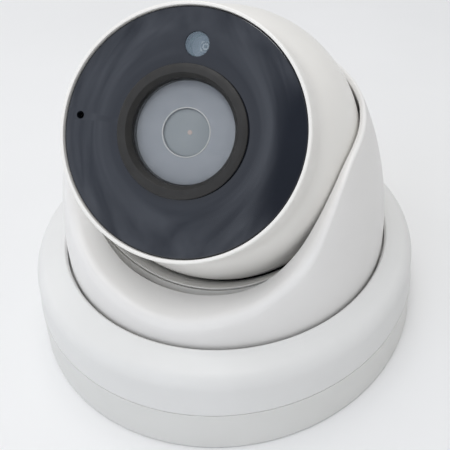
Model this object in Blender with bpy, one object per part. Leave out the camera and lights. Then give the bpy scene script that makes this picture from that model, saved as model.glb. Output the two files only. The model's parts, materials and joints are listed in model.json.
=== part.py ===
"""Turret dome camera: a mounting base and its cover, a turret housing that pans in them,
and an eyeball that tilts in the housing and turns about its own optical axis.

The base stands on Z = 0 with the pan axis on +Z. The eyeball looks towards -Y and upwards.
Pieces of the eyeball are drawn along their own +Z, the optical axis, with the ball's centre
at the origin, and hang on an empty that leans them forward.
"""

from math import acos, asin, cos, pi, radians, sin, sqrt

import bmesh
import bpy
from mathutils import Matrix, Vector

MM = 0.001
GAP = 0.3 * MM                      # air between pieces that touch

# Base
BASE_R = 55.2 * MM                  # outer radius at the foot
SEAM_R = 54.3 * MM                  # outer radius at the seam under the cover
SEAM_Z = 12.3 * MM                  # middle of the seam
SEAM_GAP = 0.8 * MM
COVER_SHOULDER_R = 53.7 * MM
COVER_SHOULDER_Z = 16.0 * MM
COVER_TOP_Z = 25.0 * MM
COVER_HOLE_R = 45.0 * MM
FLOOR_T = 3.0 * MM
WALL_T = 2.4 * MM
BEARING_R = 44.0 * MM               # middle of the ring that carries the turret
BEARING_T = 3.0 * MM
BEARING_TOP_Z = 14.0 * MM
CABLE_HOLE_R = 9.0 * MM
WALL_SCREW_R = 2.0 * MM             # holes for the screws that hold the base to a ceiling
WALL_SCREW_PCD_R = 31.0 * MM
COVER_SCREW_AT_R = 48.8 * MM
COVER_SCREW_TURN = radians(92)      # of the first screw from +X

# Turret housing: an ellipse turned about the pan axis
DOME_R = 44.3 * MM
DOME_Z = 22.0 * MM
DOME_H = 70.0 * MM
DOME_WALL = 2.4 * MM
FLANGE_R = 48.2 * MM
FLANGE_Z = 17.6 * MM
FLANGE_T = 2.8 * MM

# Eyeball
BALL_Z = 50.8 * MM                  # height of its centre
BALL_R = 35.6 * MM
BALL_WALL = 2.2 * MM
BALL_GAP = 0.4 * MM                 # between the ball and its socket
LEAN = radians(52.55)               # of the optical axis from the vertical, at rest
RIM_D = 32.5 * MM                   # the face rim's distance from the ball's centre
RIM_R = 27.4 * MM
GLASS_R = 26.6 * MM
GLASS_D = 31.9 * MM                 # front face of the black glass
GLASS_T = 2.0 * MM

# The ring under the eyeball
SUPPORT_Z = 19.6 * MM
SUPPORT_T = 2.6 * MM
SUPPORT_TOP_Z = SUPPORT_Z + SUPPORT_T
SUPPORT_SCREW_AT_R = 39.6 * MM
SUPPORT_SCREW_TURN = radians(94)    # of the first screw from +X

# The socket's mouth: a funnel about an axis that leans 60 degrees forward
MOUTH_LEAN = radians(60)
MOUTH_R = 29.4 * MM
MOUTH_AT = Vector((0, -18.8 * MM, BALL_Z + 3.7 * MM))
MOUTH_FLARE = radians(24)
RIM_SLOPE = 0.25                    # rise of the housing's rim towards the back
RIM_AT_Z = 12.7 * MM                # height of that rim above the ball's centre, at Y = 0

# The seam between the eyeball's halves
FLANGE_D = 2.6 * MM                 # thickness from the seam's middle to the flange's far face
SHELL_FLANGE_R = 30.4 * MM
RETAINER_R = 26.4 * MM
RETAINER_SCREW_AT_R = 28.3 * MM
LEAD_HOLE_R = 5.2 * MM

# Face furniture
LEDGE_R = 25.2 * MM
HOOD_TUBE_R = 12.9 * MM
HOOD_R = 14.3 * MM
LENS_WINDOW_R = 11.2 * MM
IR_UP = 18.6 * MM                   # infrared window above the lens axis
IR_WINDOW_R = 2.7 * MM
MIC_LEFT = 23.4 * MM
MIC_HOLE_R = 0.6 * MM

LARGE, MEDIUM, SMALL = 48, 20, 12   # sides of turned pieces

WHITE = ("white_plastic", (0.78, 0.77, 0.74), 0.45, 0.0)
BLACK_GLASS = ("black_glass", (0.02, 0.022, 0.028), 0.05, 0.0)
BLACK = ("black_plastic", (0.03, 0.03, 0.03), 0.5, 0.0)
CLEAR = ("clear_glass", (0.55, 0.6, 0.65), 0.03, 0.0)
RUBBER = ("rubber", (0.02, 0.02, 0.02), 0.8, 0.0)
BOARD = ("circuit_board", (0.02, 0.16, 0.07), 0.4, 0.0)
CHIP = ("chip", (0.02, 0.02, 0.022), 0.45, 0.0)
LED = ("led_package", (0.8, 0.8, 0.76), 0.35, 0.0)
STEEL = ("steel", (0.6, 0.6, 0.62), 0.3, 1.0)
BRASS = ("brass", (0.75, 0.58, 0.28), 0.3, 1.0)
ALUMINIUM = ("aluminium", (0.7, 0.7, 0.72), 0.35, 1.0)


def clear_scene():
    for obj in list(bpy.data.objects):
        bpy.data.objects.remove(obj, do_unlink=True)


def material(finish):
    """The Principled material of this finish, made once."""
    name, colour, roughness, metallic = finish
    found = bpy.data.materials.get(name)
    if found:
        return found
    made = bpy.data.materials.new(name)
    made.use_nodes = True
    shader = made.node_tree.nodes["Principled BSDF"]
    shader.inputs["Base Color"].default_value = (*colour, 1)
    shader.inputs["Roughness"].default_value = roughness
    shader.inputs["Metallic"].default_value = metallic
    made.diffuse_color = (*colour, 1)
    return made


def axis_empty(name, parent=None, location=(0, 0, 0), lean=0.0):
    empty = bpy.data.objects.new(name, None)
    bpy.context.collection.objects.link(empty)
    empty.parent = parent
    empty.location = location
    empty.rotation_euler = (lean, 0, 0)
    return empty


def node(name, shape, finish, parent, location=(0, 0, 0), turn=0.0):
    """An object made of this bmesh, on its parent's axis."""
    bmesh.ops.remove_doubles(shape, verts=shape.verts, dist=0.001 * MM)
    bmesh.ops.recalc_face_normals(shape, faces=shape.faces)
    mesh = bpy.data.meshes.new(name)
    shape.to_mesh(mesh)
    shape.free()
    mesh.shade_smooth()
    mesh.set_sharp_from_angle(angle=radians(30))
    obj = bpy.data.objects.new(name, mesh)
    bpy.context.collection.objects.link(obj)
    obj.parent = parent
    obj.location = location
    obj.rotation_euler = (0, 0, turn)
    if finish:
        obj.data.materials.append(material(finish))
    return obj


def turned(outline, sides, angle=2 * pi):
    """The closed outline of (radius, height) points, turned about Z."""
    shape = bmesh.new()
    verts = [shape.verts.new((r, 0, z)) for r, z in outline]
    edges = [shape.edges.new((a, b)) for a, b in zip(verts, verts[1:] + verts[:1])]
    whole = angle >= 2 * pi
    bmesh.ops.spin(shape, geom=verts + edges, axis=(0, 0, 1), cent=(0, 0, 0), angle=angle,
                   steps=sides, use_merge=whole)
    bmesh.ops.remove_doubles(shape, verts=shape.verts, dist=0.001 * MM)
    if not whole:
        bmesh.ops.holes_fill(shape, edges=shape.edges, sides=0)
    loose = [edge for edge in shape.edges if not edge.link_faces]
    bmesh.ops.delete(shape, geom=loose, context="EDGES")
    bmesh.ops.recalc_face_normals(shape, faces=shape.faces)
    return shape


def rod(radius, low, high, sides=MEDIUM, hole=0.0):
    """A cylinder about Z, or a tube where it has a hole."""
    return turned([(hole, low), (radius, low), (radius, high), (hole, high)], sides)


def block(size, centre=(0, 0, 0)):
    shape = bmesh.new()
    bmesh.ops.create_cube(shape, size=1)
    bmesh.ops.scale(shape, vec=size, verts=shape.verts)
    bmesh.ops.translate(shape, vec=centre, verts=shape.verts)
    return shape


def moved(shape, by):
    bmesh.ops.translate(shape, vec=by, verts=shape.verts)
    return shape


def arc(centre, radius, start, end, steps):
    """Points on an arc in the (radius, height) plane, from one angle to the other."""
    turns = [start + (end - start) * i / steps for i in range(steps + 1)]
    return [(centre[0] + radius * cos(t), centre[1] + radius * sin(t)) for t in turns]


def combine(obj, operation, *tools, solver="EXACT"):
    """Adds Boolean modifiers, whose tools are helpers that aren't part of the object.

    MANIFOLD is for the shells whose facets nearly line up with their cutters', where EXACT
    leaves open edges."""
    for tool in tools:
        tool.hide_render = True
        tool.display_type = "WIRE"
        modifier = obj.modifiers.new(tool.name, "BOOLEAN")
        modifier.operation = operation
        modifier.solver = solver
        modifier.object = tool


def helper(name, shape, parent=None, location=(0, 0, 0), lean=0.0):
    tool = node(name, shape, None, parent, location)
    tool.rotation_euler = (lean, 0, 0)
    return tool


def on_circle(radius, count, first=0.0):
    """(x, y) of this many places round a circle."""
    angles = [first + 2 * pi * i / count for i in range(count)]
    return [(radius * cos(a), radius * sin(a)) for a in angles]


# ---------------------------------------------------------------- base

def mounting_base(root):
    """A dish with screw pillars and with holes in its floor."""
    top = SEAM_Z - SEAM_GAP / 2
    inner = SEAM_R - WALL_T
    dish = turned([(0, 0), (BASE_R, 0), (BASE_R - 0.2 * MM, FLOOR_T), (SEAM_R, top), (inner, top),
                   (inner, FLOOR_T), (0, FLOOR_T)], LARGE)
    base = node("mounting_base", dish, WHITE, root)
    for i, (x, y) in enumerate(on_circle(COVER_SCREW_AT_R, 3, COVER_SCREW_TURN)):
        pillar = moved(rod(2.8 * MM, 1 * MM, top - GAP, SMALL), (x, y, 0))
        combine(base, "UNION", helper(f"pillar_{i}", pillar), solver="MANIFOLD")
    for i, (x, y) in enumerate(on_circle(COVER_SCREW_AT_R, 3, COVER_SCREW_TURN)):
        well = turned([(0, -1 * MM), (2.6 * MM, -1 * MM), (2.6 * MM, 2.2 * MM), (1.5 * MM, 2.2 * MM),
                       (1.5 * MM, 20 * MM), (0, 20 * MM)], SMALL)
        combine(base, "DIFFERENCE", helper(f"screw_well_{i}", moved(well, (x, y, 0))), solver="MANIFOLD")
    for i, (x, y) in enumerate(on_circle(WALL_SCREW_PCD_R, 3, COVER_SCREW_TURN)):
        hole = moved(rod(WALL_SCREW_R, -1 * MM, 5 * MM, SMALL), (x, y, 0))
        combine(base, "DIFFERENCE", helper(f"wall_screw_hole_{i}", hole), solver="MANIFOLD")
    cable_hole = rod(CABLE_HOLE_R, -1 * MM, 5 * MM, MEDIUM)
    combine(base, "DIFFERENCE", helper("cable_hole", cable_hole), solver="MANIFOLD")


def base_cover(root):
    """The trim ring: a drafted side, a round shoulder and a top that falls a little outwards."""
    low = SEAM_Z + SEAM_GAP / 2
    corner = 7 * MM
    shoulder = arc((COVER_SHOULDER_R - corner, COVER_SHOULDER_Z), corner, 0, radians(75), 5)
    ring = [(SEAM_R - 0.2 * MM, low), *shoulder, (COVER_HOLE_R + 0.9 * MM, COVER_TOP_Z),
            (COVER_HOLE_R + 0.2 * MM, COVER_TOP_Z - 0.3 * MM),
            (COVER_HOLE_R, COVER_TOP_Z - 1 * MM), (COVER_HOLE_R, COVER_TOP_Z - 3.6 * MM),
            (48.8 * MM, COVER_TOP_Z - 3.6 * MM), (51 * MM, 18 * MM), (51.4 * MM, low)]
    cover = node("base_cover", turned(ring, LARGE), WHITE, root)
    for i, (x, y) in enumerate(on_circle(COVER_SCREW_AT_R, 3, COVER_SCREW_TURN)):
        boss = moved(rod(3 * MM, low + 0.2 * MM, 17 * MM, SMALL), (x, y, 0))
        combine(cover, "UNION", helper(f"cover_boss_{i}", boss), solver="MANIFOLD")
    for i, (x, y) in enumerate(on_circle(COVER_SCREW_AT_R, 3, COVER_SCREW_TURN)):
        pilot = moved(rod(1.5 * MM, low - 1 * MM, 16 * MM, SMALL), (x, y, 0))
        combine(cover, "DIFFERENCE", helper(f"cover_pilot_{i}", pilot), solver="MANIFOLD")


def cover_screws(root):
    """Pan-head screws that come up through the base into the cover."""
    for i, (x, y) in enumerate(on_circle(COVER_SCREW_AT_R, 3, COVER_SCREW_TURN)):
        screw = turned([(0, 0.9 * MM), (0.9 * MM, 0.9 * MM), (1.3 * MM, 0.4 * MM), (2.3 * MM, 0.6 * MM),
                        (2.3 * MM, 1.9 * MM), (1.2 * MM, 1.9 * MM), (1.2 * MM, 15 * MM), (0, 15.6 * MM)],
                       SMALL)
        node(f"cover_screw_{i + 1}", screw, STEEL, root, (x, y, 0))


def cable_grommet(root):
    """A waisted rubber ring in the floor's hole, with a hole for the lead."""
    waist, lip, hole = CABLE_HOLE_R - GAP, CABLE_HOLE_R + 1.6 * MM, 4.5 * MM
    ring = turned([(hole, 0.3 * MM), (waist, 0.3 * MM), (waist, FLOOR_T + GAP), (lip, FLOOR_T + GAP),
                   (lip - 0.6 * MM, FLOOR_T + 2 * MM), (hole, FLOOR_T + 2 * MM)], MEDIUM)
    node("cable_grommet", ring, RUBBER, root)


def base_rings(root):
    """The gasket in the seam, and the bearing and friction rings that the turret's flange turns on."""
    half = SEAM_GAP / 2 - 0.1 * MM
    outer = SEAM_R - 0.9 * MM
    gasket = rod(outer, SEAM_Z - half, SEAM_Z + half, LARGE, outer - 1.4 * MM)
    node("seam_gasket", gasket, RUBBER, root)
    inner = BEARING_R - BEARING_T / 2
    bearing = rod(inner + BEARING_T, FLOOR_T + GAP, BEARING_TOP_Z, LARGE, inner)
    node("bearing_ring", bearing, BLACK, root)
    friction = rod(BEARING_R + 1.2 * MM, BEARING_TOP_Z + GAP, FLANGE_Z - GAP, LARGE, inner + 0.1 * MM)
    node("pan_friction_ring", friction, RUBBER, root)


# ---------------------------------------------------------------- turret

def dome_radius(z):
    return DOME_R * sqrt(max(0, 1 - ((z - DOME_Z) / DOME_H) ** 2))


def dome_outline(low, high, inset, steps):
    heights = [low + (high - low) * i / steps for i in range(steps + 1)]
    return [(dome_radius(z) - inset, z) for z in heights]


def mouth_funnel(extra, low, high):
    """The funnel's solid about Z, from `low` behind its throat to `high` in front of it."""
    throat = MOUTH_R + extra
    return turned([(0, low), (throat, low), (throat, 0),
                   (throat + high * sin(MOUTH_FLARE) / cos(MOUTH_FLARE), high), (0, high)], LARGE)


def rim_cutter():
    """All that is above the housing's rim, which rises to the back and drops round the mouth."""
    def rim(y):
        return BALL_Z + RIM_AT_Z + RIM_SLOPE * y

    bend_y, bend_r = -9 * MM, 15 * MM
    bend = arc((bend_y, rim(bend_y) - bend_r), bend_r, radians(90), radians(142), 6)
    foot_y, foot_z = bend[-1]
    run = 9.5 * MM
    outline = [(80 * MM, rim(80 * MM)), *bend,
               (foot_y - run * sin(radians(38)), foot_z - run * cos(radians(38))),
               (-80 * MM, foot_z - run * cos(radians(38))), (-80 * MM, 120 * MM), (80 * MM, 120 * MM)]
    shape = bmesh.new()
    face = shape.faces.new([shape.verts.new((-60 * MM, y, z)) for y, z in outline])
    swept = bmesh.ops.extrude_face_region(shape, geom=[face])["geom"]
    bmesh.ops.translate(shape, vec=(120 * MM, 0, 0),
                        verts=[v for v in swept if isinstance(v, bmesh.types.BMVert)])
    bmesh.ops.recalc_face_normals(shape, faces=shape.faces)
    return shape


def sphere(radius, steps=16, sides=LARGE):
    """A ball about the origin."""
    side = arc((0, 0), radius, -pi / 2, pi / 2, steps)
    return turned([(max(r, 0), z) for r, z in side], sides)


def turret_housing(turret):
    """A domed shell on a flange, with a funnel-shaped mouth that the eyeball sits in."""
    top = 82 * MM
    flange_top = FLANGE_Z + FLANGE_T
    solid = turned([(0, FLANGE_Z), (FLANGE_R, FLANGE_Z), (FLANGE_R, flange_top), (DOME_R, flange_top),
                    *dome_outline(DOME_Z, top, 0, 10), (0, top)], LARGE)
    housing = node("turret_housing", solid, WHITE, turret)
    inner_top = BALL_Z + 4 * MM
    bore = DOME_R - DOME_WALL
    cavity = helper("cavity", turned([(0, FLANGE_Z - 1 * MM), (bore, FLANGE_Z - 1 * MM), (bore, DOME_Z),
                                      *dome_outline(DOME_Z + 2 * MM, inner_top, DOME_WALL, 5),
                                      (0, inner_top)], LARGE))
    lining = helper("mouth_lining", mouth_funnel(2.6 * MM, -1 * MM, 24 * MM), None, MOUTH_AT, MOUTH_LEAN)
    combine(cavity, "DIFFERENCE", lining, solver="MANIFOLD")
    socket = helper("socket", sphere(BALL_R + BALL_GAP), None, (0, 0, BALL_Z))
    mouth = helper("mouth", mouth_funnel(0, -14 * MM, 40 * MM), None, MOUTH_AT, MOUTH_LEAN)
    combine(housing, "DIFFERENCE", cavity, socket, mouth, helper("rim_cutter", rim_cutter()),
            solver="MANIFOLD")
    for i, (x, y) in enumerate(on_circle(SUPPORT_SCREW_AT_R, 3, SUPPORT_SCREW_TURN)):
        boss = moved(rod(2.6 * MM, SUPPORT_TOP_Z + GAP, 29 * MM, SMALL), (x, y, 0))
        pilot = moved(rod(1.3 * MM, 20 * MM, 28 * MM, SMALL), (x, y, 0))
        combine(housing, "UNION", helper(f"housing_boss_{i}", boss), solver="MANIFOLD")
        combine(housing, "DIFFERENCE", helper(f"housing_pilot_{i}", pilot), solver="MANIFOLD")


def socket_liner(turret):
    """A stepped arc below the eyeball's front that closes the slot behind the mouth's lip."""
    half = radians(56)
    inner = BALL_R + 0.8 * MM
    low, front = 7 * MM, 9.8 * MM
    outline = [(sqrt(inner ** 2 - low ** 2), low), (38.6 * MM, low), (38.6 * MM, front + 0.7 * MM),
               (36.4 * MM, front + 0.7 * MM), (36.4 * MM, front), (sqrt(inner ** 2 - front ** 2), front)]
    liner = turned(outline, MEDIUM, 2 * half)
    bmesh.ops.rotate(liner, matrix=Matrix.Rotation(-pi / 2 - half, 3, "Z"), verts=liner.verts)
    obj = node("socket_liner", liner, WHITE, turret, (0, 0, BALL_Z))
    obj.rotation_euler = (LEAN, 0, 0)


def ball_support(turret):
    """The ring that holds the eyeball up, the friction ring in its seat, and its screws."""
    seat = BALL_R + 1.6 * MM
    high = 23.6 * MM
    top_r, low_r = (sqrt(seat ** 2 - (BALL_Z - z) ** 2) for z in (high, SUPPORT_Z + 1 * MM))
    ring = turned([(top_r, high), (low_r, SUPPORT_Z + 1 * MM), (low_r, SUPPORT_Z), (41.5 * MM, SUPPORT_Z),
                   (41.5 * MM, SUPPORT_TOP_Z), (35.5 * MM, SUPPORT_TOP_Z), (top_r + 3 * MM, high)], LARGE)
    support = node("ball_support_ring", ring, BLACK, turret)
    for i, (x, y) in enumerate(on_circle(SUPPORT_SCREW_AT_R, 3, SUPPORT_SCREW_TURN)):
        hole = moved(rod(1.4 * MM, SUPPORT_Z - 1 * MM, SUPPORT_TOP_Z + 2 * MM, SMALL), (x, y, 0))
        combine(support, "DIFFERENCE", helper(f"support_hole_{i}", hole))
        screw = turned([(0, SUPPORT_Z - 1.7 * MM), (2.2 * MM, SUPPORT_Z - 1.5 * MM),
                        (2.2 * MM, SUPPORT_Z - GAP), (1 * MM, SUPPORT_Z - GAP), (1 * MM, 27.4 * MM),
                        (0, 27.7 * MM)], SMALL)
        node(f"support_screw_{i + 1}", screw, STEEL, turret, (x, y, 0))
    start, end = radians(-50.5), radians(-56.5)
    band = arc((0, 0), seat - GAP, start, end, 2) + arc((0, 0), BALL_R + GAP, end, start, 2)
    node("ball_friction_ring", turned(band, LARGE), RUBBER, turret, (0, 0, BALL_Z))


# ---------------------------------------------------------------- eyeball's rear half, which only tilts

def latitude(d, radius):
    """The angle above the equator of a sphere's points that lie d along its axis."""
    return asin(d / radius)


def rear_shell(tilt):
    """The hemisphere behind the lens, with a flange that the front half turns against."""
    inner = BALL_R - BALL_WALL
    outline = [*arc((0, 0), BALL_R, latitude(-GAP, BALL_R), -acos(LEAD_HOLE_R / BALL_R), 7),
               *arc((0, 0), inner, -acos(LEAD_HOLE_R / inner), latitude(-FLANGE_D, inner), 6),
               (SHELL_FLANGE_R, -FLANGE_D), (SHELL_FLANGE_R, -GAP)]
    node("rear_shell", turned(outline, LARGE), WHITE, tilt)


def rear_rubbers(tilt):
    """The ring in the seam between the two halves and the gland round the lead's hole."""
    seal = turned([(31.7 * MM, 0), (32.7 * MM, 0), (32.7 * MM, 1.2 * MM), (31.7 * MM, 1.2 * MM)], LARGE)
    node("shell_seal", seal, RUBBER, tilt)
    bore, waist, lip = 2.2 * MM, LEAD_HOLE_R - GAP, LEAD_HOLE_R + 2 * MM
    gland = turned([(bore, -30.4 * MM), (bore, -35.1 * MM), (waist, -34.7 * MM), (waist, -32.2 * MM),
                    (lip, -32.2 * MM), (lip, -31 * MM), (waist, -30.4 * MM)], MEDIUM)
    node("cable_gland", gland, RUBBER, tilt)


# ---------------------------------------------------------------- eyeball's front half, which also rolls

def front_shell(eye):
    """A hemisphere with a collar, whose rim holds the black glass, and a flange in the seam."""
    inner = BALL_R - BALL_WALL
    outside = [*arc((0, 0), BALL_R, latitude(GAP, BALL_R), latitude(20.3 * MM, BALL_R), 6),
               (28.4 * MM, 22.2 * MM), (27.95 * MM, 24.2 * MM), (27.75 * MM, 26.5 * MM),
               (27.6 * MM, 31.4 * MM), (RIM_R, RIM_D - 0.4 * MM), (RIM_R - 0.3 * MM, RIM_D)]
    wall = GLASS_R + 0.3 * MM
    inside = [(wall, RIM_D - 0.1 * MM), (wall, 28.9 * MM), (LEDGE_R, 28.9 * MM), (LEDGE_R, 28 * MM),
              (25.6 * MM, 27.6 * MM), (25.6 * MM, 22.5 * MM),
              *arc((0, 0), inner, latitude(19.7 * MM, inner), latitude(FLANGE_D, inner), 4)]
    flange = [(RETAINER_R, FLANGE_D), (RETAINER_R, GAP), (31.4 * MM, GAP), (31.4 * MM, 1.5 * MM),
              (33 * MM, 1.5 * MM), (33 * MM, GAP)]
    shell = node("front_shell", turned(outside + inside + flange, LARGE), WHITE, eye)
    for i, (x, y) in enumerate(on_circle(RETAINER_SCREW_AT_R, 3, radians(4))):
        pilot = moved(rod(1.2 * MM, -1 * MM, 1.9 * MM, SMALL), (x, y, 0))
        combine(shell, "DIFFERENCE", helper(f"shell_pilot_{i}", pilot, eye))


def roll_retainer(eye):
    """The ring behind the rear half's flange that keeps the two halves together, and its screws."""
    lip_r, back = 32.1 * MM, -FLANGE_D - GAP - 1.5 * MM
    ring = turned([(RETAINER_R, back), (lip_r, back), (lip_r, -FLANGE_D - GAP),
                   (SHELL_FLANGE_R - GAP, -FLANGE_D - GAP), (SHELL_FLANGE_R - GAP, 0), (RETAINER_R, 0)], LARGE)
    retainer = node("roll_retainer", ring, BLACK, eye)
    for i, (x, y) in enumerate(on_circle(RETAINER_SCREW_AT_R, 3, radians(4))):
        hole = moved(rod(1.2 * MM, back - 1 * MM, 1 * MM, SMALL), (x, y, 0))
        combine(retainer, "DIFFERENCE", helper(f"retainer_hole_{i}", hole, eye), solver="MANIFOLD")
        screw = turned([(0, back - 1.6 * MM), (1.8 * MM, back - 1.4 * MM), (1.8 * MM, back - GAP),
                        (0.9 * MM, back - GAP), (0.9 * MM, 1.4 * MM), (0, 1.6 * MM)], SMALL)
        node(f"retainer_screw_{i + 1}", screw, STEEL, eye, (x, y, 0))


def face_glass(eye):
    """The black front glass with holes for the lens hood, the infrared window and the microphone."""
    glass = node("face_glass", rod(GLASS_R, GLASS_D - GLASS_T, GLASS_D, LARGE, HOOD_TUBE_R + GAP),
                 BLACK_GLASS, eye)
    holes = {"infrared": (IR_WINDOW_R + GAP, 0, IR_UP), "sound": (MIC_HOLE_R, -MIC_LEFT, 0)}
    for name, (radius, x, y) in holes.items():
        hole = moved(rod(radius, GLASS_D - GLASS_T - 1 * MM, GLASS_D + 1 * MM, SMALL), (x, y, 0))
        combine(glass, "DIFFERENCE", helper(f"{name}_hole", hole, eye))
    gasket = rod(GLASS_R - 0.1 * MM, 29.2 * MM, GLASS_D - GLASS_T - GAP, LARGE, LEDGE_R + 0.2 * MM)
    node("glass_gasket", gasket, RUBBER, eye)
    window = rod(IR_WINDOW_R, GLASS_D - GLASS_T + GAP, GLASS_D - GAP, SMALL)
    node("ir_window", window, CLEAR, eye, (0, IR_UP, 0))


def lens_hood(eye):
    """The ring round the lens that stands a little proud of the glass, and the window in it."""
    bore = LENS_WINDOW_R + GAP
    foot = GLASS_D + GAP
    hood = turned([(HOOD_TUBE_R, 28.6 * MM), (HOOD_TUBE_R, foot), (HOOD_R, foot),
                   (HOOD_R - 0.2 * MM, foot + 0.4 * MM), (13.1 * MM, 33.1 * MM), (12.4 * MM, 33.1 * MM), (bore, 31.8 * MM), (bore, 29.6 * MM),
                   (10.4 * MM, 29.6 * MM), (10.4 * MM, 28.6 * MM)], LARGE)
    node("lens_hood", hood, BLACK, eye)
    node("lens_window", rod(LENS_WINDOW_R, 29.9 * MM, 30.8 * MM, LARGE), CLEAR, eye)


def lens(eye):
    """The lens barrel with its elements, screwed into a holder over the sensor."""
    barrel = turned([(4.2 * MM, 10.6 * MM), (6.9 * MM, 10.6 * MM), (6.9 * MM, 21 * MM), (9.4 * MM, 22 * MM),
                     (9.4 * MM, 28.2 * MM), (7.8 * MM, 28.2 * MM), (7.8 * MM, 24.4 * MM), (4.4 * MM, 23.6 * MM),
                     (4.4 * MM, 14 * MM), (5 * MM, 13.6 * MM), (5 * MM, 11.4 * MM), (4.2 * MM, 11.2 * MM)],
                    MEDIUM)
    node("lens_barrel", barrel, BLACK, eye)
    front = turned([(0, 25.4 * MM), (5 * MM, 25 * MM), (7.4 * MM, 25 * MM), (7.4 * MM, 26 * MM),
                    (6.2 * MM, 26.9 * MM), (4 * MM, 27.7 * MM), (0, 28.1 * MM)], MEDIUM)
    node("lens_front_element", front, CLEAR, eye)
    rear = turned([(0, 11.6 * MM), (4.6 * MM, 11.8 * MM), (4.6 * MM, 13 * MM), (0, 13.9 * MM)], MEDIUM)
    node("lens_rear_element", rear, CLEAR, eye)
    holder = node("lens_holder", block((18 * MM, 18 * MM, 8.4 * MM), (0, 0, 11 * MM)), BLACK, eye)
    bore = turned([(0, 6 * MM), (6.2 * MM, 6 * MM), (6.2 * MM, 10.2 * MM), (7.2 * MM, 10.2 * MM),
                   (7.2 * MM, 17 * MM), (0, 17 * MM)], MEDIUM)
    combine(holder, "DIFFERENCE", helper("holder_bore", bore, eye))
    node("ir_filter", rod(5.9 * MM, 8.9 * MM, 9.6 * MM, MEDIUM), CLEAR, eye)


def electronics(eye):
    """The chassis plate with the sensor in front of it and the main board on pillars behind it."""
    plate = FLANGE_D + GAP
    node("chassis_plate", rod(25 * MM, plate, plate + 1.5 * MM, MEDIUM), ALUMINIUM, eye)
    node("sensor_board", block((34 * MM, 30 * MM, 1.6 * MM), (0, 0, 5.6 * MM)), BOARD, eye)
    node("image_sensor", block((7.4 * MM, 5.6 * MM, 1 * MM), (0, 0, 7.2 * MM)), CHIP, eye)
    for i, (x, y) in enumerate(on_circle(20 * MM, 4, pi / 4)):
        pillar = rod(1.7 * MM, -4.1 * MM, plate - GAP, 6)
        node(f"board_standoff_{i + 1}", pillar, BRASS, eye, (x, y, 0))
    node("main_board", rod(23.6 * MM, -6 * MM, -4.4 * MM, MEDIUM), BOARD, eye)
    node("main_chip", block((13 * MM, 13 * MM, 1.2 * MM), (0, 3 * MM, -6.9 * MM)), CHIP, eye)
    node("cable_connector", block((12 * MM, 5 * MM, 6 * MM), (0, -16 * MM, -9.3 * MM)), LED, eye)
    sink = node("heat_sink", block((26 * MM, 20 * MM, 9 * MM), (0, 3 * MM, -12.3 * MM)), ALUMINIUM, eye)
    for i in range(5):
        slot = block((2.4 * MM, 24 * MM, 7 * MM), ((i - 2) * 4.8 * MM, 3 * MM, -13.8 * MM))
        combine(sink, "DIFFERENCE", helper(f"fin_slot_{i}", slot, eye))


def infrared_and_sound(eye):
    """The ring board behind the black glass, its light and its microphone."""
    board = rod(24.6 * MM, 25 * MM, 26.2 * MM, LARGE, 13.4 * MM)
    node("ir_board", board, BOARD, eye)
    lamp = block((3 * MM, 3 * MM, 1.2 * MM), (0, IR_UP, 27.1 * MM))
    node("ir_led", lamp, LED, eye)
    node("microphone", rod(1.3 * MM, 26.5 * MM, 29 * MM, SMALL), BLACK, eye, (-MIC_LEFT, 0, 0))


def main():
    clear_scene()
    root = axis_empty("base_axis")
    turret = axis_empty("pan_axis", root)
    mounting_base(root)
    base_cover(root)
    cover_screws(root)
    cable_grommet(root)
    base_rings(root)
    turret_housing(turret)
    socket_liner(turret)
    ball_support(turret)
    tilt = axis_empty("tilt_axis", turret, (0, 0, BALL_Z))
    tilt_leant = axis_empty("tilt_leant", tilt, lean=LEAN)
    rear_shell(tilt_leant)
    rear_rubbers(tilt_leant)
    eye = axis_empty("optical_axis", tilt_leant)
    for build in (front_shell, roll_retainer, face_glass, lens_hood, lens, electronics, infrared_and_sound):
        build(eye)


main()
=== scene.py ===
"""Looks of the turret dome camera: fine turned shells, the glass face, the lens and the materials.

Everything is in metres in the part's own frame. The base stands on Z = 0 with the pan axis on +Z,
and the eyeball looks towards -Y and upwards. Eyeball pieces are drawn along their own +Z, the
optical axis, with the ball's centre at the origin, and are then leant into place.
"""

import json
from math import acos, asin, atan2, cos, degrees, pi, radians, sin, sqrt, tan

import bmesh
import bpy
import numpy as np
from mathutils import Matrix, Vector


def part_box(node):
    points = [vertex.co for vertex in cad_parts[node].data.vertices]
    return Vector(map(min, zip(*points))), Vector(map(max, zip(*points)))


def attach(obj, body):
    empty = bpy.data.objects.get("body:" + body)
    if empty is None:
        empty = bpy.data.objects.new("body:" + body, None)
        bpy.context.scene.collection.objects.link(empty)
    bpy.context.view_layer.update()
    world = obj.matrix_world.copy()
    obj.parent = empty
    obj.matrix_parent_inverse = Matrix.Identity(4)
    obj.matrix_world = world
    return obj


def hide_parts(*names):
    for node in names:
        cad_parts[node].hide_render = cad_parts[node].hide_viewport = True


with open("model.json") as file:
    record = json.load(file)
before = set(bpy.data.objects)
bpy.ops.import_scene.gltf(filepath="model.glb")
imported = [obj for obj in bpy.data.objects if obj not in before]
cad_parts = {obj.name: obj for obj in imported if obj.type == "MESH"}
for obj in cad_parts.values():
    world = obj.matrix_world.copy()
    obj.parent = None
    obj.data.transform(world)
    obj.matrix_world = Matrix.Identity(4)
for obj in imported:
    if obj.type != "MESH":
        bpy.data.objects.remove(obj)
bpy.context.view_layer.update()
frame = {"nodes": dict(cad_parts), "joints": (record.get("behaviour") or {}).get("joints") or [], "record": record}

MM = 0.001
FINE = 256                          # sides of the turned pieces that show an outline
SIDES = 96                          # sides of the turned pieces inside it
COARSE = 48                         # sides of the smallest turned pieces
SHARP = 35                          # degrees between two faces from which their edge stays sharp

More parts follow.
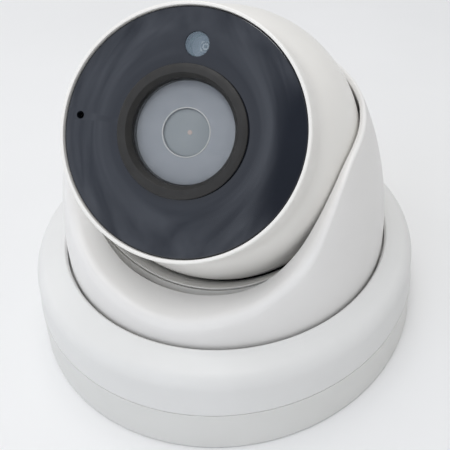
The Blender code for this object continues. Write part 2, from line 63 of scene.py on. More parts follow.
JOINTS = {joint["name"]: joint for joint in frame["joints"]}
BALL_Z = JOINTS["tilt"]["pos_m"][2]
ROLL_AXIS = Vector(JOINTS["roll"]["axis"])
LEAN = atan2(-ROLL_AXIS.y, ROLL_AXIS.z)
EYE = Matrix.Translation((0, 0, BALL_Z)) @ Matrix.Rotation(LEAN, 4, "X")

SEAM_R = 54.3 * MM                  # radius of the seam between the foot and the trim ring
BALL_R = 35.6 * MM
BALL_WALL = 2.2 * MM
HALF_SEAM = 0.3 * MM                # from the ball's widest circle to the edge of each of its shells
GLASS_R = 26.65 * MM
GLASS_FRONT = 31.9 * MM             # heights along the optical axis, from the ball's centre
RIM_FRONT = 32.5 * MM


# ---------------------------------------------------------------- outlines

def fillet(corners, steps=6):
    """The closed outline through (radius, height, rounding) corners, with each corner rounded off."""
    points = []
    count = len(corners)
    for i, (r, z, rounding) in enumerate(corners):
        here = np.array((r, z))
        if rounding <= 0:
            points.append(here)
            continue
        before = np.array(corners[i - 1][:2]) - here
        after = np.array(corners[(i + 1) % count][:2]) - here
        points.extend(corner_arc(here, before, after, rounding, steps))
    return [tuple(p) for p in points]


def corner_arc(corner, before, after, rounding, steps):
    """Points of the arc that rounds a corner between the ways to its two neighbours."""
    long_a, long_b = np.linalg.norm(before), np.linalg.norm(after)
    a, b = before / long_a, after / long_b
    half = acos(max(-1.0, min(1.0, float(a @ b)))) / 2
    if half > radians(89.5) or half < radians(1):
        return [corner] * (steps + 1)
    cut = min(rounding / tan(half), 0.49 * long_a, 0.49 * long_b)
    radius = cut * tan(half)
    middle = corner + (a + b) / np.linalg.norm(a + b) * radius / sin(half)
    start = corner + a * cut - middle
    end = corner + b * cut - middle
    first = atan2(start[1], start[0])
    turn = atan2(end[1], end[0]) - first
    turn = (turn + pi) % (2 * pi) - pi
    return [middle + radius * np.array((cos(first + turn * k / steps), sin(first + turn * k / steps)))
            for k in range(steps + 1)]


def arc(radius, start, end, steps):
    """Points of an arc about the origin, from one angle to the other."""
    turns = [start + (end - start) * i / steps for i in range(steps + 1)]
    return [(radius * cos(t), radius * sin(t)) for t in turns]


def bezier(a, b, c, d, steps):
    """Points of the cubic curve from a to d that leaves towards b and arrives from c."""
    a, b, c, d = (np.array(p) for p in (a, b, c, d))
    curve = []
    for k in range(steps + 1):
        t = k / steps
        p = (1 - t) ** 3 * a + 3 * t * (1 - t) ** 2 * b + 3 * t * t * (1 - t) * c + t ** 3 * d
        curve.append(tuple(p))
    return curve


# ---------------------------------------------------------------- meshes

def placed(name, mesh, place=None, smooth=SHARP):
    """An object for the mesh, moved into place and shaded smooth up to an angle in degrees."""
    if place is not None:
        mesh.transform(place)
    mesh.shade_smooth()
    mesh.set_sharp_from_angle(angle=radians(smooth))
    obj = bpy.data.objects.new(name, mesh)
    bpy.context.scene.collection.objects.link(obj)
    return obj


def object_from(name, verts, faces, place=None, smooth=SHARP):
    """An object from vertices and faces, with double points joined and the faces turned outwards."""
    mesh = bpy.data.meshes.new(name)
    mesh.from_pydata([tuple(v) for v in verts], [], faces)
    work = bmesh.new()
    work.from_mesh(mesh)
    bmesh.ops.remove_doubles(work, verts=work.verts, dist=1e-7)
    bmesh.ops.dissolve_degenerate(work, edges=work.edges, dist=1e-7)
    bmesh.ops.recalc_face_normals(work, faces=work.faces)
    work.to_mesh(mesh)
    work.free()
    return placed(name, mesh, place, smooth)


def swept_rings(rings):
    """Vertices and faces of a closed surface through rings of points, each ring closed on itself."""
    count, around = len(rings), len(rings[0])
    verts = [tuple(p) for ring in rings for p in ring]
    faces = []
    for i in range(count):
        for j in range(around):
            k, n = (i + 1) % count, (j + 1) % around
            faces.append((i * around + j, k * around + j, k * around + n, i * around + n))
    return verts, faces


def lathe(name, outline, place=None, sides=FINE, smooth=SHARP, centre=(0.0, 0.0)):
    """The closed (radius, height) outline turned about Z."""
    turns = [2 * pi * i / sides for i in range(sides)]
    rings = [[(centre[0] + r * cos(t), centre[1] + r * sin(t), z) for t in turns] for r, z in outline]
    verts, faces = swept_rings(rings)
    return object_from(name, verts, faces, place, smooth)


def drill(name, radius, low, high, place=None, sides=COARSE, centre=(0.0, 0.0)):
    """A round cutter for a hole."""
    outline = [(0, low), (radius, low), (radius, high), (0, high)]
    return lathe(name, outline, place, sides, centre=centre)


def disc_lens(name, radius, back, front, bevel, place=None, sides=FINE, centre=(0.0, 0.0), crown=0.0):
    """A round pane with bevelled edges, or a lens where it has a crown."""
    steps = 10
    face = []
    if crown:
        face = [(radius * k / steps, front + crown * (1 - (k / steps) ** 2)) for k in range(1, steps)]
    outline = [(0, back), (radius - bevel, back), (radius, back + bevel), (radius, front - bevel),
               (radius - bevel, front), *face[::-1], (0, front + crown)]
    return lathe(name, outline, place, sides, smooth=30, centre=centre)


def cut(obj, tools):
    """Cuts the tools out of the object and removes them."""
    for tool in tools:
        modifier = obj.modifiers.new("cut", "BOOLEAN")
        modifier.operation = "DIFFERENCE"
        modifier.solver = "EXACT"
        modifier.object = tool
    depsgraph = bpy.context.evaluated_depsgraph_get()
    mesh = bpy.data.meshes.new_from_object(obj.evaluated_get(depsgraph))
    obj.modifiers.clear()
    obj.data = mesh
    mesh.shade_smooth()
    mesh.set_sharp_from_angle(angle=radians(SHARP))
    for tool in tools:
        bpy.data.objects.remove(tool)


def box_mesh(name, size, centre, bevel, place):
    """A block with rounded edges."""
    work = bmesh.new()
    bmesh.ops.create_cube(work, size=1)
    bmesh.ops.scale(work, vec=size, verts=work.verts)
    bmesh.ops.bevel(work, geom=list(work.edges), offset=bevel, segments=3, profile=0.5, affect="EDGES")
    bmesh.ops.translate(work, vec=centre, verts=work.verts)
    mesh = bpy.data.meshes.new(name)
    work.to_mesh(mesh)
    work.free()
    return placed(name, mesh, place)


# ---------------------------------------------------------------- materials

NOISE_SPAN = (0.3, 0.7)             # the levels between which nearly all of a noise texture lies


def shader_of(material):
    return material.node_tree.nodes["Principled BSDF"]


def new_material(name, colour, roughness, metallic=0.0, **sockets):
    """A Principled material; other sockets are given by name, with _ for a space."""
    material = bpy.data.materials.new(name)
    material.use_nodes = True
    shader = shader_of(material)
    shader.inputs["Base Color"].default_value = (*colour, 1)
    shader.inputs["Roughness"].default_value = roughness
    shader.inputs["Metallic"].default_value = metallic
    for socket, value in sockets.items():
        shader.inputs[socket.replace("_", " ")].default_value = value
    return material


def noise(tree, scale, detail):
    """A noise texture on the piece's own coordinates; scale is per metre."""
    coordinates = tree.nodes.new("ShaderNodeTexCoord")
    texture = tree.nodes.new("ShaderNodeTexNoise")
    texture.inputs["Scale"].default_value = scale
    texture.inputs["Detail"].default_value = detail
    texture.inputs["Roughness"].default_value = 0.5
    tree.links.new(coordinates.outputs["Object"], texture.inputs["Vector"])
    return texture


def tint(material, scale, low, high):
    """Colours the surface between two close colours by soft noise."""
    tree = material.node_tree
    ramp = tree.nodes.new("ShaderNodeValToRGB")
    for end, position, colour in zip(ramp.color_ramp.elements, NOISE_SPAN, (low, high)):
        end.position = position
        end.color = (*colour, 1)
    tree.links.new(noise(tree, scale, 3.0).outputs["Fac"], ramp.inputs["Fac"])
    tree.links.new(ramp.outputs["Color"], shader_of(material).inputs["Base Color"])


def vary_roughness(material, scale, low, high):
    """Spreads the roughness between two values by soft noise."""
    tree = material.node_tree
    spread = tree.nodes.new("ShaderNodeMapRange")
    spread.inputs["From Min"].default_value = NOISE_SPAN[0]
    spread.inputs["From Max"].default_value = NOISE_SPAN[1]
    spread.inputs["To Min"].default_value = low
    spread.inputs["To Max"].default_value = high
    tree.links.new(noise(tree, scale, 4.0).outputs["Fac"], spread.inputs["Value"])
    tree.links.new(spread.outputs["Result"], shader_of(material).inputs["Roughness"])


def grain(material, scale, strength, height):
    """A fine moulded grain; height is the bump's depth in metres."""
    tree = material.node_tree
    bump = tree.nodes.new("ShaderNodeBump")
    bump.inputs["Strength"].default_value = strength
    bump.inputs["Distance"].default_value = height
    tree.links.new(noise(tree, scale, 2.0).outputs["Fac"], bump.inputs["Height"])
    tree.links.new(bump.outputs["Normal"], shader_of(material).inputs["Normal"])


def finish(name, low, high, drift, roughness, gloss=None, relief=None, **sockets):
    """Two close colours in soft drifts, with uneven gloss (scale, lowest roughness, highest roughness)
    and a fine grain (scale, strength, depth) where they are given."""
    middle = [(a + b) / 2 for a, b in zip(low, high)]
    material = new_material(name, middle, roughness, **sockets)
    tint(material, drift, low, high)
    if gloss:
        vary_roughness(material, *gloss)
    if relief:
        grain(material, *relief)
    return material


def moulding(name, low, high, roughness):
    """Satin moulded plastic."""
    return finish(name, low, high, 55, roughness, (240, roughness - 0.05, roughness + 0.05),
                  (5200, 0.12, 0.02 * MM), Coat_Weight=0.05, Coat_Roughness=0.35)


def metal(name, colour, roughness):
    """Bare metal with fine tool marks."""
    material = new_material(name, colour, roughness, 1.0)
    vary_roughness(material, 1200, roughness - 0.08, roughness + 0.1)
    grain(material, 3000, 0.15, 0.02 * MM)
    return material


def clear_glass():
    """Clear glass, which light passes through."""
    material = new_material("clear_glass", (0.96, 0.98, 1.0), 0.02, Transmission_Weight=1.0, IOR=1.5)
    vary_roughness(material, 200, 0.01, 0.03)
    return material


def finish_library():
    """A material for each slot of the CAD model, and for each piece that has its own."""
    return {
        "white_plastic": moulding("white_satin", (0.81, 0.80, 0.785), (0.84, 0.83, 0.815), 0.40),
        # The ball's warm white; on the socket step it is a lighter copy that paints light into the shaded rings.
        "ball_white": moulding("ball_white", (0.87, 0.855, 0.82), (0.90, 0.885, 0.85), 0.34),
        # A darker copy of the white plastic: painted shade on the trim ring.
        "base_white": moulding("base_white", (0.745, 0.745, 0.735), (0.775, 0.775, 0.765), 0.45),
        # A darker copy of the white plastic: painted shade on the foot's lower band; the lens's edge ring also
        # uses it.
        "foot_white": moulding("foot_white", (0.69, 0.69, 0.67), (0.72, 0.72, 0.70), 0.45),
        "black_glass": finish("black_glass", (0.010, 0.012, 0.018), (0.014, 0.017, 0.025), 30, 0.03,
                              (160, 0.02, 0.05), IOR=1.52),
        "black_plastic": finish("black_satin", (0.017, 0.0165, 0.016), (0.024, 0.023, 0.022), 300, 0.5,
                                (900, 0.45, 0.56), (6500, 0.25, 0.03 * MM), Specular_IOR_Level=0.4),
        "clear_glass": clear_glass(),
        # Pale grey-blue tint of the lens window: painted reflection of a softbox.
        "coated_glass": finish("coated_glass", (0.28, 0.31, 0.34), (0.32, 0.35, 0.385), 60, 0.12,
                               (300, 0.08, 0.16), IOR=1.5, Alpha=0.12),
        "smoked_glass": finish("smoked_glass", (0.38, 0.49, 0.59), (0.42, 0.53, 0.63), 200, 0.08,
                               IOR=1.5, Alpha=0.24),
        # Pale grey-blue under the lens window: painted reflection of a softbox; the lamp holder also uses it.
        "lens_cell": finish("lens_cell", (0.32, 0.34, 0.37), (0.36, 0.38, 0.41), 400, 0.5),
        "lens_glass": finish("lens_glass", (0.27, 0.30, 0.31), (0.32, 0.35, 0.36), 200, 0.35, IOR=1.6),
        # Pinkish colour for a small disc on the front element: painted highlight.
        "iris": finish("iris", (0.54, 0.43, 0.38), (0.62, 0.50, 0.45), 900, 0.35),
        "rubber": finish("rubber", (0.016, 0.016, 0.016), (0.028, 0.027, 0.026), 500, 0.8,
                         relief=(4000, 0.3, 0.04 * MM)),
        "circuit_board": finish("solder_mask", (0.012, 0.10, 0.04), (0.02, 0.16, 0.065), 700, 0.3,
                                relief=(2500, 0.3, 0.05 * MM), Coat_Weight=0.3),
        "chip": finish("moulded_epoxy", (0.017, 0.017, 0.019), (0.028, 0.028, 0.03), 2500, 0.5,
                       relief=(8000, 0.3, 0.02 * MM)),
        "led_package": finish("led_white", (0.74, 0.74, 0.70), (0.84, 0.84, 0.80), 2000, 0.35),
        "steel": metal("plated_steel", (0.55, 0.55, 0.57), 0.28),
        "brass": metal("turned_brass", (0.78, 0.58, 0.26), 0.25),
        "aluminium": metal("milled_aluminium", (0.72, 0.72, 0.74), 0.33),
    }


FINISH = finish_library()
NODE_SLOT = {part["node"]: part["material_slot"] for part in frame["record"]["subparts"]}


def dress(obj, material):
    """Gives the object this one material."""
    obj.data.materials.clear()
    obj.data.materials.append(material)


def show(piece, body, material, slot_name, *nodes):
    """A finished piece: its material, the body it rides on and the CAD nodes it stands for."""
    dress(piece, FINISH[material])
    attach(piece, body)
    if nodes:
        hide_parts(*nodes)


# ---------------------------------------------------------------- base

def middle_of(box):
    """The middle of a box given by its low and high corners."""
    return (box[0] + box[1]) / 2


def base_dish():
    """The foot, a shallow dish with recesses for the screws, wall holes and a hole for the lead."""
    foot_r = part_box("mounting_base")[1].x
    seam_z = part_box("base_cover")[0].z - 0.45 * MM
    bore_r, floor_z = 51.9 * MM, 3 * MM
    dish = lathe("base_dish", fillet([
        (0, 0, 0), (foot_r, 0, 0.5 * MM), (foot_r - 0.25 * MM, floor_z, 0), (SEAM_R, seam_z, 0.15 * MM),
        (bore_r, seam_z, 0.3 * MM), (bore_r, floor_z, 0.8 * MM), (0, floor_z, 0)]))
    under, recess_top, over = -1 * MM, 2.2 * MM, 5 * MM
    screw_r, wall_hole_r, lead_r, wall_hole_ring = 2.6 * MM, 2 * MM, 9 * MM, 31 * MM
    holes = []
    for i in range(3):
        x, y, _ = middle_of(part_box(f"cover_screw_{i + 1}"))
        inward = wall_hole_ring / sqrt(x * x + y * y)
        holes.append(drill(f"screw_recess_{i}", screw_r, under, recess_top, centre=(x, y)))
        holes.append(drill(f"wall_hole_{i}", wall_hole_r, under, over, centre=(x * inward, y * inward)))
    holes.append(drill("lead_hole", lead_r, under, over, sides=SIDES))
    cut(dish, holes)
    # The foot's darker white is painted shade on the lower band.
    show(dish, "base", "foot_white", "white_plastic", "mounting_base")


def trim_ring():
    """The rounded ring on the foot, which covers the turret's flange."""
    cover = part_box("base_cover")
    low, top = cover[0].z - 0.3 * MM, cover[1].z
    bore_r, ceiling_z = 45 * MM, 21.4 * MM
    shoulder_r, shoulder_z, shoulder_round = 53.1 * MM, 22.9 * MM, 6.2 * MM
    ring = lathe("trim_ring", fillet([
        (SEAM_R - 0.1 * MM, low, 0.15 * MM), (53.75 * MM, 16 * MM, 0),
        (shoulder_r, shoulder_z, shoulder_round), (47.2 * MM, top - 0.35 * MM, 3.0 * MM),
        (45.6 * MM, top, 0.5 * MM), (bore_r, top - 0.9 * MM, 0.4 * MM), (bore_r, ceiling_z, 0),
        (48.8 * MM, ceiling_z, 0.5 * MM), (51 * MM, 18 * MM, 0.5 * MM), (51.4 * MM, low, 0)], 10))
    # The trim ring's darker white is painted shade.
    show(ring, "base", "base_white", "white_plastic", "base_cover")


# ---------------------------------------------------------------- turret housing

# The dome outside is half an ellipse: its radius, its widest height and its own height above that
DOME_R, DOME_Z, DOME_H = 44.5 * MM, 22.0 * MM, 70.0 * MM
DOME_WALL = 2.4 * MM
FLANGE_R = 48.2 * MM                # the flange under the trim ring
FLANGE_LOW, FLANGE_TOP = 17.6 * MM, 20.4 * MM
BALL_GAP = 0.7 * MM                 # least room between the ball and the housing's inner wall
REAR_SLOPE = 0.12                   # rise of the mouth's edge behind the ball, per metre of Y
REAR_R = 34.0 * MM                  # radius of that edge

# The mouth's edge: angle from -Y in degrees, then its radius, its height above the ball's centre
# and the height of the ridge outside it, all in mm
MOUTH_EDGE = ((-24, 35.1, -18.5, -15.9), (0, 33.6, -21.4, -19.9), (24, 35.1, -18.5, -15.9),
              (36, 35.9, -14.4, -10.9), (45, 36.65, -8.2, -6.0), (54, 36.4, -1.05, 2.0), (61, 35.9, 4.1, 6.6),
              (69, 35.2, 8.1, 9.9), (78, 34.7, 10.0, 11.6), (88, 34.4, 11.0, 12.6), (100, 34.1, 12.1, 13.7),
              (112, 33.8, 13.1, 14.7))


def dome_radius(z):
    """The outside radius of the dome at a height above the base."""
    return DOME_R * sqrt(max(0.0, 1 - ((z - DOME_Z) / DOME_H) ** 2))


def through(points, at):
    """The smooth curve through rows of (place, value, value ...), read at a place."""
    i = max(1, min(len(points) - 3, sum(1 for row in points if row[0] <= at) - 1))
    before, start, end, after = (np.array(row, float) for row in points[i - 1:i + 3])
    span = end[0] - start[0]
    t = (at - start[0]) / span
    leave = (end - before) / (end[0] - before[0]) * span
    arrive = (after - start) / (after[0] - start[0]) * span
    row = ((2 * t ** 3 - 3 * t ** 2 + 1) * start + (t ** 3 - 2 * t ** 2 + t) * leave
           + (3 * t ** 2 - 2 * t ** 3) * end + (t ** 3 - t ** 2) * arrive)
    return row[1:]


def ball_clear(z):
    """The radius that keeps the gap to the ball, at a height from its centre."""
    return sqrt(max(0.0, (BALL_R + BALL_GAP) ** 2 - z * z))


def mouth_edge(angle):
    """(radius, height, ridge height) of the mouth at this angle from -Y, above the ball's centre."""
    last = MOUTH_EDGE[-2]
    if degrees(angle) < last[0]:
        return through(MOUTH_EDGE, degrees(angle)) * MM
    z = last[2] * MM + REAR_SLOPE * REAR_R * (cos(radians(last[0])) - cos(angle))
    return np.array((ball_clear(z), z, z + (last[3] - last[2]) * MM))


def housing_outline(angle):
    """The housing's section at this angle from -Y, with the same number of points at each angle."""
    edge_r, edge_z, ridge_z = mouth_edge(angle)
    edge = np.array((edge_r, BALL_Z + edge_z))
    ridge_z += BALL_Z
    ridge = np.array((dome_radius(ridge_z), ridge_z))
    lower_z = ridge_z - 6 * MM
    down = np.array((dome_radius(lower_z), lower_z)) - ridge
    width = np.linalg.norm(ridge - edge)
    round_ridge = corner_arc(ridge, down, edge - ridge, min(3.2 * MM, 0.9 * width), 12)
    lip = 2 * MM
    below = np.array((max(edge_r + 0.1 * MM, ball_clear(edge_z - lip)), edge[1] - lip))
    round_edge = corner_arc(edge, ridge - edge, below - edge, min(0.5 * MM, 0.3 * width), 5)
    side = [np.array((dome_radius(max(z, DOME_Z)), z))
            for z in np.linspace(FLANGE_TOP, float(round_ridge[0][1]), 30)[:-1]]
    inner = [below]
    for z in (edge_z - 2 * lip, min(edge_z - 3.5 * lip, 1 * MM)):
        wall = max(dome_radius(BALL_Z + z) - DOME_WALL, ball_clear(z), inner[-1][0] + 0.3 * MM)
        inner.append(np.array((wall, BALL_Z + z)))
    bore = DOME_R - DOME_WALL
    inner += [np.array((bore, 21 * MM)), np.array((bore, FLANGE_LOW))]
    flange = [np.array((FLANGE_R, FLANGE_LOW)), np.array((FLANGE_R, FLANGE_TOP))]
    return flange + side + round_ridge + round_edge + inner


def turret_shell():
    """The dome with its mouth for the eyeball: the sections at all angles, joined into one surface."""
    turns = [2 * pi * i / FINE for i in range(FINE)]
    sections = []
    for t in turns:
        angle = abs((t + pi / 2 + pi) % (2 * pi) - pi)
        sections.append([(r * cos(t), r * sin(t), z) for r, z in housing_outline(angle)])
    verts, faces = swept_rings(sections)
    shell = object_from("turret_shell", verts, faces, None, 40)
    show(shell, "turret", "white_plastic", "white_plastic", "turret_housing")


def socket_step():
    """The stepped ring inside the mouth, below the eyeball."""
    half = radians(56)
    outer_r, low, top, groove_z = 38.55 * MM, 3 * MM, 11.1 * MM, 10.0 * MM
    outline = fillet([(35.9 * MM, low, 0), (outer_r, low, 0), (outer_r, top, 0.25 * MM),
                      (36.95 * MM, top, 0), (36.9 * MM, groove_z, 0), (36.6 * MM, groove_z, 0),
                      (36.55 * MM, top, 0), (36.3 * MM, 11.0 * MM, 0.15 * MM),
                      (35.97 * MM, 8.6 * MM, 1.5 * MM), (35.8 * MM, 6.3 * MM, 0.5 * MM)], 4)
    steps = 96
    rings = []
    for i in range(steps + 1):
        t = -pi / 2 - half + 2 * half * i / steps
        rings.append([(r * cos(t), r * sin(t), z) for r, z in outline])
    count = len(outline)
    verts = [p for ring in rings for p in ring]
    faces = [(i * count + j, (i + 1) * count + j, (i + 1) * count + (j + 1) % count,
              i * count + (j + 1) % count) for i in range(steps) for j in range(count)]
    faces += [tuple(range(count)), tuple(range(steps * count, (steps + 1) * count))]
    piece = object_from("socket_step", verts, faces, EYE)
    # The lighter ball white paints light into the shaded socket rings.
    show(piece, "turret", "ball_white", "white_plastic", "socket_liner")


# ---------------------------------------------------------------- eyeball

def latitude(height, radius):
    """The angle above the ball's widest circle at which a sphere reaches this height."""
    return asin(height / radius)


def ball_shells():
    """The front shell with the collar and the rim round the glass, and the rear shell with its lead hole."""
    inner_r = BALL_R - BALL_WALL
    seam_r = BALL_R * cos(latitude(HALF_SEAM, BALL_R)) - 0.15 * MM
    seam_round = latitude(0.5 * MM, BALL_R)
    neck_z = 19.6 * MM
    collar_r, collar_z = 27.75 * MM, 26.5 * MM
    rim_bore, seat_r, seat_z = 26.75 * MM, 25.2 * MM, 28.9 * MM
    tongue_z = 2.6 * MM
    outside = [(seam_r, HALF_SEAM), *arc(BALL_R, seam_round, latitude(neck_z, BALL_R), 24)]
    collar = bezier(outside[-1], (28.4 * MM, 21.6 * MM), (27.9 * MM, 23 * MM), (collar_r, collar_z), 10)
    rim = fillet([(collar_r, collar_z, 0), (27.6 * MM, RIM_FRONT, 0.4 * MM),
                  (rim_bore, RIM_FRONT - 0.05 * MM, 0.15 * MM), (rim_bore, seat_z, 0),
                  (seat_r, seat_z, 0), (seat_r, 27.8 * MM, 0), (25.6 * MM, 22.5 * MM, 0)], 6)
    inside = arc(inner_r, latitude(19.7 * MM, inner_r), latitude(tongue_z, inner_r), 12)
    flange_bore, joint_r, groove_r, groove_z = 26.4 * MM, 31.4 * MM, 33 * MM, 1.5 * MM
    flange = [(flange_bore, tongue_z), (flange_bore, HALF_SEAM), (joint_r, HALF_SEAM), (joint_r, groove_z),
              (groove_r, groove_z), (groove_r, HALF_SEAM)]
    front = lathe("eyeball_front", outside + collar[1:-1] + rim + inside + flange, EYE)
    show(front, "eyeball", "ball_white", "white_plastic", "front_shell")

    hole = 5.2 * MM
    outer = [(seam_r, -HALF_SEAM), *arc(BALL_R, -seam_round, -acos(hole / BALL_R), 32)]
    inner_side = arc(inner_r, -acos(hole / inner_r), -latitude(tongue_z, inner_r), 24)
    step_r = 30.4 * MM
    rear = lathe("eyeball_rear", outer + inner_side + [(step_r, -tongue_z), (step_r, -HALF_SEAM)], EYE)
    show(rear, "tilt_shell", "ball_white", "white_plastic", "rear_shell")


def glass_face():
    """The black pane round the lens, its holes for the infrared light and the microphone, and the
    window in the first of them."""
    back = GLASS_FRONT - 2 * MM
    lens_hole_r, window_r, sound_r, window_gap = 13.2 * MM, 2.66 * MM, 0.85 * MM, 0.06 * MM
    sides = 64
    pane = lathe("black_face", fillet([
        (lens_hole_r, back, 0), (GLASS_R, back, 0.1 * MM), (GLASS_R, GLASS_FRONT, 0.35 * MM),
        (lens_hole_r, GLASS_FRONT, 0.15 * MM)], 4), EYE)
    window = EYE.inverted() @ middle_of(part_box("ir_window"))
    sound = EYE.inverted() @ middle_of(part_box("microphone"))
    holes = [drill(f"{name}_hole", radius, back - MM, GLASS_FRONT + MM, EYE, sides, (spot.x, spot.y))
             for name, radius, spot in (("ir", window_r + window_gap, window), ("sound", sound_r, sound))]
    cut(pane, holes)
    show(pane, "eyeball", "black_glass", "black_glass", "face_glass")
    lamp_window = disc_lens("infrared_window", window_r, GLASS_FRONT - 0.9 * MM, GLASS_FRONT - 0.05 * MM,
                            0.08 * MM, EYE, sides, (window.x, window.y))
    show(lamp_window, "eyeball", "smoked_glass", "clear_glass", "ir_window")


def lamp():
    """The infrared light on its holder: a square package with a die under a low ring."""
    low, high = (EYE.inverted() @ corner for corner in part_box("ir_led"))
    holder_x, holder_y = (low.x + high.x) / 2, (low.y + high.y) / 2 + 0.2 * MM
    x, y = holder_x + 0.9 * MM, holder_y
    holder_r, seat_z = 2.6 * MM, 28.2 * MM
    holder_top = seat_z - 0.05 * MM
    holder = lathe("lamp_holder", fillet([
        (0, low.z, 0), (holder_r, low.z, 0), (holder_r, holder_top, 0.1 * MM), (0, holder_top, 0)], 3),
        EYE, COARSE, centre=(holder_x, holder_y))
    # The holder uses the pale grey that paints the lens's reflection.
    show(holder, "eyeball", "lens_cell", "black_plastic")
    side, thick = 2.3 * MM, 0.9 * MM
    package = box_mesh("lamp_package", (side, side, thick), (x, y, seat_z + thick / 2), 0.12 * MM, EYE)
    show(package, "eyeball", "led_package", "led_package", "ir_led")
    top = seat_z + thick
    ring_top = top + 0.3 * MM
    ring = lathe("lamp_ring", fillet([
        (0.75 * MM, top, 0), (1.05 * MM, top, 0), (1.0 * MM, ring_top, 0.08 * MM),
        (0.8 * MM, ring_top, 0.08 * MM)], 3), EYE, COARSE, centre=(x, y))
    show(ring, "eyeball", "chip", "chip")
    die_side, die_thick = 0.7 * MM, 0.15 * MM
    die = box_mesh("lamp_die", (die_side, die_side, die_thick), (x, y, top + 0.08 * MM), 0.03 * MM, EYE)
    show(die, "eyeball", "chip", "chip")


def hood():
    """The black ring round the lens, stepped over the glass face and with a ledge for the window."""
    outer_r, brim_r, bore_r, ledge_r = 12.9 * MM, 14.3 * MM, 11.4 * MM, 11.25 * MM
    back, brim_z, ledge_z = 28.6 * MM, 32.0 * MM, 29.6 * MM
    ring = lathe("hood_ring", fillet([
        (outer_r, back, 0), (outer_r, brim_z, 0), (brim_r, brim_z, 0.1 * MM),
        (brim_r, 32.6 * MM, 0.25 * MM), (13.4 * MM, 32.75 * MM, 0.3 * MM), (12.3 * MM, 32.85 * MM, 0.1 * MM),
        (bore_r, 31.7 * MM, 0.1 * MM), (bore_r, ledge_z, 0), (ledge_r, ledge_z, 0), (ledge_r, back, 0)], 5),
        EYE)
    show(ring, "eyeball", "black_plastic", "black_plastic", "lens_hood")


def lens():
    """The lens window, tinted pale to paint a reflection, and under it a pale cell that paints the same
    reflection, with the front element, its edge and a small pink disc that paints a glint.
    """
    # The window's pale tint is a painted reflection.
    window = disc_lens("lens_cover_glass", 11.3 * MM, 29.9 * MM, 30.8 * MM, 0.15 * MM, EYE)
    show(window, "eyeball", "coated_glass", "clear_glass", "lens_window")
    # The pale cell under the window paints the same reflection.
    bore_r, cell_r, cell_low, cell_top = 5.2 * MM, 11.2 * MM, 27.2 * MM, 29.6 * MM
    cell = lathe("lens_cell", fillet([
        (bore_r, cell_low, 0), (cell_r, cell_low, 0), (cell_r, cell_top, 0.1 * MM),
        (bore_r, cell_top, 0.1 * MM)], 3), EYE, SIDES)
    show(cell, "eyeball", "lens_cell", "black_plastic")
    edge_r, edge_top = 5.45 * MM, cell_top + 0.15 * MM
    edge_ring = lathe("lens_edge_ring", fillet([
        (bore_r, cell_top, 0), (edge_r, cell_top, 0), (edge_r - 0.05 * MM, edge_top, 0.05 * MM),
        (bore_r + 0.02 * MM, edge_top, 0.05 * MM)], 3), EYE, SIDES)
    # The edge ring uses the foot's darker white.
    show(edge_ring, "eyeball", "foot_white", "aluminium")
    element_top, crown = 29.1 * MM, 0.45 * MM
    front = disc_lens("front_element", bore_r - 0.05 * MM, cell_low, element_top, 0.1 * MM, EYE, SIDES,
                      crown=crown)
    show(front, "eyeball", "lens_glass", "clear_glass", "lens_front_element")
    apex = element_top + crown
    # A small pinkish disc on the front element paints a glint.
    iris = lathe("iris_glint", fillet([
        (0, apex - 0.05 * MM, 0), (0.55 * MM, apex - 0.1 * MM, 0), (0.5 * MM, apex + 0.05 * MM, 0.05 * MM),
        (0, apex + 0.1 * MM, 0)], 3), EYE, COARSE, centre=(0.8 * MM, 0.1 * MM))
    show(iris, "eyeball", "iris", "aluminium")


def plain_nodes():
    """CAD nodes whose shape is right keep it and get a finished material."""
    for name, obj in frame["nodes"].items():
        dress(obj, FINISH[NODE_SLOT[name]])


# ---------------------------------------------------------------- stage, lights and camera

def stage_floor():
    """A pale floor just under the base."""
    half, gap = 6.0, 0.2 * MM
    mesh = bpy.data.meshes.new("floor")
    corners = [(-half, -half, 0), (half, -half, 0), (half, half, 0), (-half, half, 0)]
    mesh.from_pydata(corners, [], [(0, 1, 2, 3)])
    floor = bpy.data.objects.new("floor", mesh)
    bpy.context.scene.collection.objects.link(floor)
    floor.location.z = -gap
    dress(floor, finish("floor_paint", (0.85, 0.85, 0.85), (0.88, 0.88, 0.88), 8, 0.7))


def area_light(name, place, aim, size, watts):
    """A soft rectangular light that faces the aim."""
    light = bpy.data.lights.new(name, "AREA")
    light.shape = "RECTANGLE"
    light.size, light.size_y = size
    light.energy = watts
    obj = bpy.data.objects.new(name, light)
    obj.location = place
    obj.rotation_euler = (Vector(aim) - Vector(place)).to_track_quat("-Z", "Y").to_euler()
    bpy.context.scene.collection.objects.link(obj)


# Levels of light from the sky, the dark flag and the folded cloth, and then their tints
SKY_LEVEL, FLAG_LEVEL = 0.52, 0.22
CLOTH_DARK, CLOTH_LIGHT = 0.70, 1.60
SKY_HUE, SKY_SATURATION, CLOTH_SATURATION = 0.61, 0.01, 0.17


def sky_patch(tree, way, centre, edge, full):
    """A soft round patch of the sky, 0 outside and 1 within; edge and full are cosines from its centre."""
    nearness = tree.nodes.new("ShaderNodeVectorMath")
    nearness.operation = "DOT_PRODUCT"
    nearness.inputs[1].default_value = Vector(centre).normalized()
    patch = tree.nodes.new("ShaderNodeMapRange")
    patch.interpolation_type = "SMOOTHSTEP"
    patch.inputs["From Min"].default_value = edge
    patch.inputs["From Max"].default_value = full
    tree.links.new(way, nearness.inputs[0])
    tree.links.new(nearness.outputs["Value"], patch.inputs["Value"])
    return patch.outputs["Result"]


def blend(tree, share, outside, inside):
    """A mix of two levels of light, each a number or an output of another node."""
    mix = tree.nodes.new("ShaderNodeMix")
    tree.links.new(share, mix.inputs["Factor"])
    for socket, value in (("A", outside), ("B", inside)):
        if isinstance(value, float):
            mix.inputs[socket].default_value = value
        else:
            tree.links.new(value, mix.inputs[socket])
    return mix.outputs["Result"]


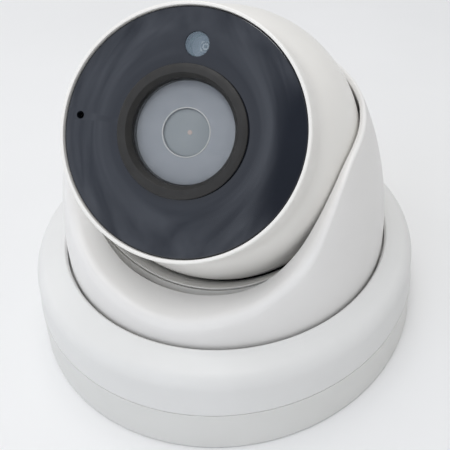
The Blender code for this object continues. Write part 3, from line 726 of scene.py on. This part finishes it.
def cloth_folds(tree, way):
    """The light of a folded cloth: noise drawn out along the folds."""
    stretch = tree.nodes.new("ShaderNodeMapping")
    stretch.inputs["Rotation"].default_value = (0, radians(35), radians(25))
    stretch.inputs["Scale"].default_value = (5.0, 1.2, 1.5)
    folds = tree.nodes.new("ShaderNodeTexNoise")
    folds.inputs["Scale"].default_value = 2.6
    folds.inputs["Detail"].default_value = 4
    folds.inputs["Distortion"].default_value = 0.4
    level = tree.nodes.new("ShaderNodeMapRange")
    level.inputs["From Min"].default_value = 0.32
    level.inputs["From Max"].default_value = 0.68
    level.inputs["To Min"].default_value = CLOTH_DARK
    level.inputs["To Max"].default_value = CLOTH_LIGHT
    tree.links.new(way, stretch.inputs["Vector"])
    tree.links.new(stretch.outputs["Vector"], folds.inputs["Vector"])
    tree.links.new(folds.outputs["Fac"], level.inputs["Value"])
    return level.outputs["Result"]


def sky():
    """An even pale sky, with a folded cloth and a dark flag in the part that the glass face mirrors."""
    world = bpy.data.worlds.new("studio")
    bpy.context.scene.world = world
    world.use_nodes = True
    tree = world.node_tree
    back = tree.nodes["Background"]
    back.inputs["Strength"].default_value = 1.0
    way = tree.nodes.new("ShaderNodeTexCoord").outputs["Generated"]
    cloth = sky_patch(tree, way, (-0.30, -0.74, 0.60), 0.80, 0.93)
    flag = sky_patch(tree, way, (0.06, -0.79, 0.61), 0.95, 0.985)
    light = blend(tree, cloth, SKY_LEVEL, cloth_folds(tree, way))
    light = blend(tree, flag, light, FLAG_LEVEL)
    colour = tree.nodes.new("ShaderNodeCombineColor")
    colour.mode = "HSV"
    colour.inputs[0].default_value = SKY_HUE
    tree.links.new(blend(tree, cloth, SKY_SATURATION, CLOTH_SATURATION), colour.inputs[1])
    tree.links.new(light, colour.inputs[2])
    tree.links.new(colour.outputs["Color"], back.inputs["Color"])


# Each lamp's name, place, size and watts
LAMPS = (("overhead", (-0.12, 0.10, 0.9), (0.55, 0.55), 1.9),
         ("left_side", (-0.85, 0.0, 0.35), (0.4, 0.5), 0.7),
         ("front_top", (0.0, -0.24, 0.9), (0.25, 0.25), 1.6),
         ("front_low", (-0.15, -0.9, 0.12), (0.5, 0.25), 0.45))


def lights():
    """The sky and the lamps, all aimed at the middle of the camera."""
    sky()
    middle = (0, 0, 0.04)
    for name, place, size, watts in LAMPS:
        area_light(name, place, middle, size, watts)
    bpy.context.scene.view_settings.view_transform = "Standard"


def camera():
    """Looks down at the face from the +X side, with the lens axis off the picture's middle."""
    azimuth, elevation, distance = radians(20.915), radians(39.439), 159.2 * MM
    yaw, pitch, roll = radians(7.457), radians(2.999), radians(-3.36)
    aim = Vector((0, 0, 33.3 * MM))
    away = Vector((sin(azimuth) * cos(elevation), -cos(azimuth) * cos(elevation), sin(elevation)))
    forward = -away
    right = forward.cross(Vector((0, 0, 1))).normalized()
    up = right.cross(forward)
    turned_forward = forward * cos(yaw) + right * sin(yaw)
    turned_right = right * cos(yaw) - forward * sin(yaw)
    tipped_forward = turned_forward * cos(pitch) + up * sin(pitch)
    tipped_up = up * cos(pitch) - turned_forward * sin(pitch)
    final_right = turned_right * cos(roll) + tipped_up * sin(roll)
    final_up = tipped_up * cos(roll) - turned_right * sin(roll)
    data = bpy.data.cameras.new("camera")
    data.sensor_width = 36
    data.lens = 44.39
    data.shift_x = -0.1667
    data.shift_y = -0.1444
    data.clip_start = 0.005
    obj = bpy.data.objects.new("camera", data)
    turn = Matrix((final_right, final_up, -tipped_forward)).transposed().to_4x4()
    obj.matrix_world = Matrix.Translation(aim + away * distance) @ turn
    bpy.context.scene.collection.objects.link(obj)
    bpy.context.scene.camera = obj


camera()
plain_nodes()
base_dish()
trim_ring()
turret_shell()
socket_step()
ball_shells()
glass_face()
lamp()
hood()
lens()
stage_floor()
lights()
